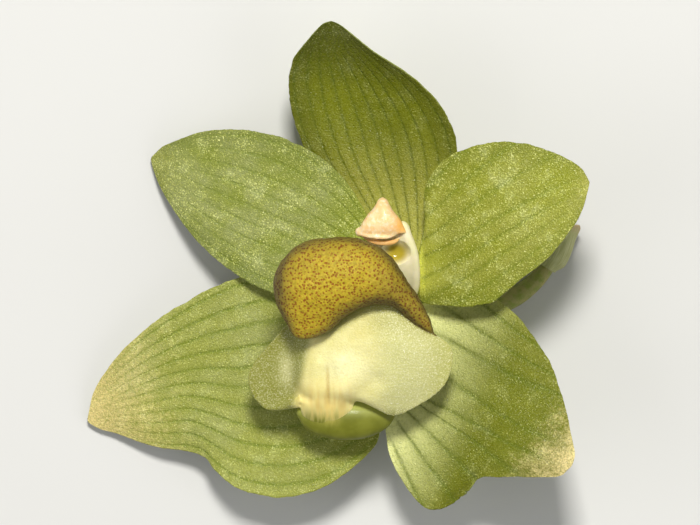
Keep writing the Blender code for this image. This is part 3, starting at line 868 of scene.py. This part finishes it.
lip_net = [
    [(-3.1, -13.6, 4.6), (-2.6, -13.9, 4.85), (-2.1, -14.1, 4.95), (-1.4, -14.3, 5.05),
     (-0.75, -14.4, 5.05), (-0.1, -14.3, 5.1), (0.6, -14.1, 5.05), (1.3, -13.7, 5.0)],
    [(-3.7, -12.1, 5.4), (-3, -12.3, 5.7), (-2.4, -12.4, 5.85), (-1.6, -12.45, 5.95),
     (-0.7, -12.45, 5.85), (0.3, -12.4, 5.95), (1.2, -12.3, 5.85), (2, -12.15, 5.6)],
    [(-6, -13, 4.5), (-4.7, -12, 4.7), (-3.7, -11.4, 5.2), (-2.5, -11.2, 6.6),
     (-0.8, -11.2, 6.8), (1.1, -11.4, 7.1), (3, -12.1, 6.8), (4.9, -13.5, 5.8)],
    [(-7.4, -11.9, 4.4), (-5.7, -10.9, 4.7), (-4.1, -10.2, 5.2), (-2.8, -9.9, 6.8),
     (-0.8, -9.8, 7.1), (1.9, -10, 7.6), (4.8, -10.9, 7.6), (7.6, -12.45, 6.2)],
    [(-8, -10.2, 4.4), (-6, -9.3, 4.7), (-4.2, -8.7, 5.3), (-2.8, -8.3, 6.9),
     (-0.5, -8.1, 7.6), (2.6, -8.2, 8.2), (6, -9.1, 8.2), (9.6, -10.9, 6.7)],
    [(-7.4, -8.7, 4.5), (-5.6, -7.9, 4.8), (-4, -7.2, 5.4), (-2.7, -6.9, 6.9),
     (0.1, -6.6, 7.9), (3.1, -6.6, 8.6), (6.4, -7.3, 8.7), (10.4, -8.9, 7)],
    [(-6.3, -7.4, 4.8), (-4.8, -6.5, 5.1), (-3.5, -5.9, 5.7), (-2.2, -5.5, 7),
     (0.6, -5.1, 7.9), (3.4, -5, 8.5), (6.4, -5.6, 8.6), (10.2, -7.2, 7.3)],
    [(-4.8, -5.6, 5.2), (-3.6, -4.8, 5.5), (-2.5, -4.2, 6.1), (-1.2, -3.8, 7.1),
     (1, -3.2, 7.8), (3.2, -3, 8.2), (5.4, -3.4, 8.1), (8.4, -5.8, 7.6)],
]
cap_spans = [
    ((-3.35, -6.62), (-2.85, -6.68), 8.5, 0.15),
    ((-3.85, -6.25), (-2.0, -6.5), 8.5, 0.85),
    ((-4.4, -5.45), (-0.75, -5.95), 8.6, 1.4),
    ((-5.0, -4.4), (0.35, -4.95), 8.8, 1.8),
    ((-5.5, -3.0), (1.3, -4.25), 9.05, 2.15),
    ((-5.65, -1.4), (2.1, -3.85), 9.2, 2.35),
    ((-4.95, 0.35), (2.8, -3.65), 9.3, 2.45),
    ((-3.35, 1.85), (3.4, -3.52), 9.35, 2.45),
    ((-1.1, 2.45), (3.9, -3.5), 9.35, 2.4),
    ((1.3, 2.5), (4.35, -3.5), 9.25, 2.35),
    ((3.4, 1.9), (4.8, -3.55), 9.1, 2.2),
    ((4.9, 0.75), (5.25, -3.75), 8.95, 1.95),
    ((5.9, -0.65), (5.75, -4.15), 8.75, 1.6),
    ((6.8, -2.05), (6.45, -4.75), 8.5, 1.2),
    ((7.7, -3.5), (7.25, -5.4), 8.2, 0.85),
    ((8.4, -4.9), (8.1, -5.95), 7.9, 0.5),
    ((8.7, -6.05), (8.6, -6.2), 7.7, 0.15),
]


def spanned(spans, along, around):
    """Rings of upright ovals through (left margin, right margin, middle height, half height)."""
    steps = curve_through([(*left, *right, z, high) for left, right, z, high in spans], along)
    left, right, level, high = steps[:, 0:2], steps[:, 2:4], steps[:, 4], steps[:, 5]
    middle = np.column_stack([(left + right) / 2, level])
    half = np.column_stack([(right - left) / 2, 0 * level])
    up = np.column_stack([0 * left, high])
    turn = np.linspace(0, 2 * math.pi, around, endpoint=False)[None, :, None]
    return middle[:, None] + np.cos(turn) * up[:, None] + np.sin(turn) * half[:, None], middle, half, high


lip_body = fleshy_sheet("lip_body", lip_net, 130, 170, 2.0, 0.35, 3, 0.25)
cap_rings, middles, halves, heights = spanned(cap_spans, 120, 90)
cap_body = ring_body("cap_body", cap_rings)
lip = fused("lip_and_its_cap", [lip_body, cap_body], 6)
places = point_places(lip)
best = np.full(len(places), 9.0)
height_on_cap = np.zeros(len(places))
for middle, half, high in zip(middles, halves, heights):
    away = places - middle
    width = np.linalg.norm(half)
    across = away @ half / width
    beyond = np.linalg.norm(away[:, :2] - across[:, None] * half[:2] / width, axis=1)
    reach_now = np.sqrt((across / width) ** 2 + (away[:, 2] / high) ** 2 + (beyond / 0.4) ** 2)
    closer = reach_now < best
    height_on_cap = np.where(closer, away[:, 2] / high, height_on_cap)
    best = np.minimum(best, reach_now)
cap_share = smooth_step(1.14, 1.03, best)


def near_line(points, start, end, width):
    """1 on the straight line from start to end seen from above, falling off smoothly to either side."""
    start, run = np.array(start), np.array(end) - np.array(start)
    part = np.clip(((points[:, :2] - start) @ run) / (run @ run), 0, 1)
    away = np.linalg.norm(points[:, :2] - start - part[:, None] * run, axis=1)
    return np.exp(-((away / width) ** 2))


body_share = 1 - cap_share
groove = near_line(places, (-0.7, -13.0), (-0.85, -8.8), 0.13) * smooth_step(-8.4, -10.0, places[:, 1])
groove *= smooth_step(-13.0, -11.6, places[:, 1])
keels = near_line(places, (-1.75, -12.2), (-1.7, -9.0), 0.6)
keels += near_line(places, (0.3, -12.2), (0.3, -8.8), 0.65)
valley = near_line(places, (1.3, -12.2), (3.6, -10.3), 0.9)
places[:, 2] += (0.25 * keels - 0.14 * groove - 0.35 * valley) * body_share
knobs = np.array([noise.noise(p) for p in (places * 0.75).tolist()])
small_knobs = np.array([noise.noise(p) for p in (places * 2.2).tolist()])
outward = np.zeros((len(places), 3), dtype=np.float32)
lip.data.vertex_normals.foreach_get("vector", outward.ravel())
knobbly = (0.09 * knobs + 0.05 * small_knobs) * (0.25 + 0.75 * cap_share)
places += outward * knobbly[:, None]
set_places(lip, places)
claw = smooth_step(-9.3, -12.6, places[:, 1]) * np.exp(-(((places[:, 0] + 0.9) / 2.5) ** 4))
# The left flap lies below the body's flank; its darker green is partly its own translucent colour and partly
# painted shadow of the cap.
flank = -2.35 + 0.23 * (places[:, 1] + 7.0)
shaded_left_flap = smooth_step(0.4, -0.6, places[:, 0] - flank)
right_lobe = smooth_step(2.2, 5.5, places[:, 0])
# Painted shade: the body darkens where the cap overhangs it and in a band along the cap's lower edge at the
# right.
painted_shade_under_cap = smooth_step(1.7, 1.05, best)
painted_shade_band = smooth_step(1.0, 4.5, places[:, 0]) * smooth_step(-7.6, -4.6, places[:, 1])
painted_shade_under_cap = np.maximum(painted_shade_under_cap, 0.6 * painted_shade_band)
# Painted highlights: pale glows on the body's middle, on the left flap by the flank and on the claw's right
# side.
painted_highlight = np.exp(-(((places[:, 0] - 0.9) / 2.2) ** 2) - ((places[:, 1] + 9.1) / 1.9) ** 2)
painted_highlight += 0.4 * np.exp(-(((places[:, 0] + 4.5) / 0.7) ** 2) - ((places[:, 1] + 9.4) / 1.4) ** 2)
painted_highlight += 0.7 * np.exp(-(((places[:, 0] - 0.7) / 0.8) ** 2) - ((places[:, 1] + 11.6) / 0.9) ** 2)
store(lip, "spread", np.stack([cap_share, height_on_cap, claw], axis=1))
store(lip, "detail", np.stack([groove, shaded_left_flap, right_lobe], axis=1))
store(lip, "shade", np.stack([painted_shade_under_cap, painted_highlight, smooth_step(-12.4, -14.0, places[:, 1])], axis=1))


def lip_skin():
    material, start, shader, place = new_skin("lip_skin", 0.36, 0.2)
    spread = stored_at(start, "spread")
    detail = stored_at(start, "detail")
    shade = stored_at(start, "shade")
    cap, rise, claw = spread.axis("X"), spread.axis("Y"), spread.axis("Z")
    groove, shaded_flap, lobe = detail.axis("X"), detail.axis("Y"), detail.axis("Z")
    painted_shade_under_cap, painted_highlight, claw_end = shade.axis("X"), shade.axis("Y"), shade.axis("Z")
    cloud = noise_at(place, 0.6, 3.0)
    grain = noise_at(place, 4.0, 4.0)
    glitter = noise_at(place, 8.0, 2.0)
    streak = noise_at(stretched(place, STREAKS), 1.0, 3.0)
    cells, lot = cells_at(place, 5.0)
    dots, dot_lot = cells_at(place, 4.0, 0.95)
    pale = cloud.ramp(0.3, 0.7).tint((0.64, 0.58, 0.21, 1), (0.72, 0.67, 0.29, 1))
    pale = lobe.tint(pale, (0.55, 0.54, 0.22, 1))
    pale = (place.axis("X").ramp(7.0, 10.4) * 0.8).tint(pale, (0.38, 0.38, 0.08, 1))
    # Painted shade: darker olive under and along the cap's lower edge.
    pale = (painted_shade_under_cap * 0.9).tint(pale, (0.29, 0.28, 0.045, 1))
    # The left flap: partly its own translucent green, partly painted shadow of the cap.
    pale = shaded_flap.tint(pale, (0.22, 0.225, 0.035, 1))
    # Painted highlights on the body, flap and claw.
    pale = (painted_highlight * grain.ramp(0.3, 0.6, 0.7, 1.0)).tint(pale, (0.88, 0.84, 0.46, 1))
    golden = (streak.ramp(0.4, 0.66) * 0.6).tint((0.84, 0.71, 0.27, 1), (0.76, 0.55, 0.16, 1))
    pale = claw.tint(pale, golden)
    pale = (groove * 0.4).tint(pale, (0.42, 0.24, 0.05, 1))
    pale = (claw_end * streak.ramp(0.35, 0.65, 1.0, 0.45)).tint(pale, (0.16, 0.17, 0.016, 1))
    sparkle_patch = (1 - claw) * (lobe * 0.75 + shaded_flap * 0.3 + 0.25)
    # Painted sparkle and glints: light caught by the lobes' clear cells, near white in the brightest grains.
    pale = (glitter.ramp(0.42, 0.68) * sparkle_patch * 0.45).tint(pale, (0.84, 0.82, 0.50, 1))
    pale = (glitter.ramp(0.62, 0.74) * lot * sparkle_patch * 0.8).tint(pale, (0.97, 0.97, 0.80, 1))
    mustard = grain.ramp(0.3, 0.7).tint((0.36, 0.27, 0.015, 1), (0.50, 0.37, 0.025, 1))
    # Darker away from the cap's top, towards its right taper and its left end: partly the cap's own dusky
    # edge, partly painted shade where its surface turns from the light; the dots darken with it.
    edge = (rise + (cloud - 0.5) * 0.5).ramp(0.25, 0.98, 1.0, 0.0)
    edge = edge + place.axis("X").ramp(2.0, 6.0) * 0.55 + place.axis("X").ramp(-3.4, -5.6) * 0.4
    mustard = (edge * 0.9).tint(mustard, (0.13, 0.098, 0.02, 1))
    blot = dots + (grain - 0.5) * 0.12
    dot = blot.ramp(0.32, 0.48, 1.0, 0.0) * dot_lot.ramp(0.0, 0.5, 0.35, 1.0)
    dot_colour = edge.tint((0.24, 0.055, 0.006, 1), (0.07, 0.018, 0.008, 1))
    mustard = (dot * 0.85).tint(mustard, dot_colour)
    colour = cap.tint(pale, mustard)
    roughness = cap.ramp(0.0, 1.0, 0.34, 0.5)
    height = (cells * -0.8 + glitter * 0.8) * (1 - claw) + dot * cap * -0.6
    feed(start, shader, colour, roughness, height, 0.04)
    return material


lip.data.materials.append(lip_skin())
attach(lip, "root")
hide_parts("lip")


# Stage: the surface that the flower lies on, the light and the camera. It is a pale matt board, a soft key
# light from the dorsal side, a wide fill on either side, and a long lens straight above.

bpy.ops.mesh.primitive_plane_add(size=1.6, location=(0, 0, -0.0001))
board = bpy.context.object
board.name = "board"
board_paint, _, board_shader, _ = new_skin("board_paint", 0.8)
board_shader.inputs["Base Color"].default_value = (0.62, 0.62, 0.60, 1)
board.data.materials.append(board_paint)


def soft_light(name, place, target, size, power, colour=(1, 1, 1)):
    lamp = bpy.data.lights.new(name, "AREA")
    lamp.size = size
    lamp.energy = power
    lamp.color = colour
    stand = bpy.data.objects.new(name, lamp)
    stand.location = place
    stand.rotation_euler = (Vector(target) - Vector(place)).to_track_quat("-Z", "Y").to_euler()
    bpy.context.collection.objects.link(stand)


flower_middle = (0.0012, 0.0002, 0.008)
soft_light("key", (0.01, 0.20, 0.42), flower_middle, 0.09, 2.3, (1.0, 0.98, 0.94))
soft_light("fill_left", (-0.40, -0.10, 0.30), flower_middle, 0.4, 0.7)
soft_light("fill_right", (0.38, -0.15, 0.34), flower_middle, 0.4, 0.6)

world = bpy.data.worlds.new("studio")
world.use_nodes = True
world.node_tree.nodes["Background"].inputs["Color"].default_value = (0.97, 0.98, 1.0, 1)
world.node_tree.nodes["Background"].inputs["Strength"].default_value = 0.22
bpy.context.scene.world = world
bpy.context.scene.view_settings.view_transform = "Standard"

PHOTO_WIDTH = 700
MM_PER_PHOTO_PIXEL = 0.09
LENS_DISTANCE = 0.9
camera_data = bpy.data.cameras.new("camera")
camera_data.sensor_width = 36
camera_data.lens = 36 * LENS_DISTANCE / (PHOTO_WIDTH * MM_PER_PHOTO_PIXEL * MM)
camera_data.clip_end = 10
camera = bpy.data.objects.new("camera", camera_data)
camera.location = (flower_middle[0], flower_middle[1], flower_middle[2] + LENS_DISTANCE)
bpy.context.collection.objects.link(camera)
bpy.context.scene.camera = camera
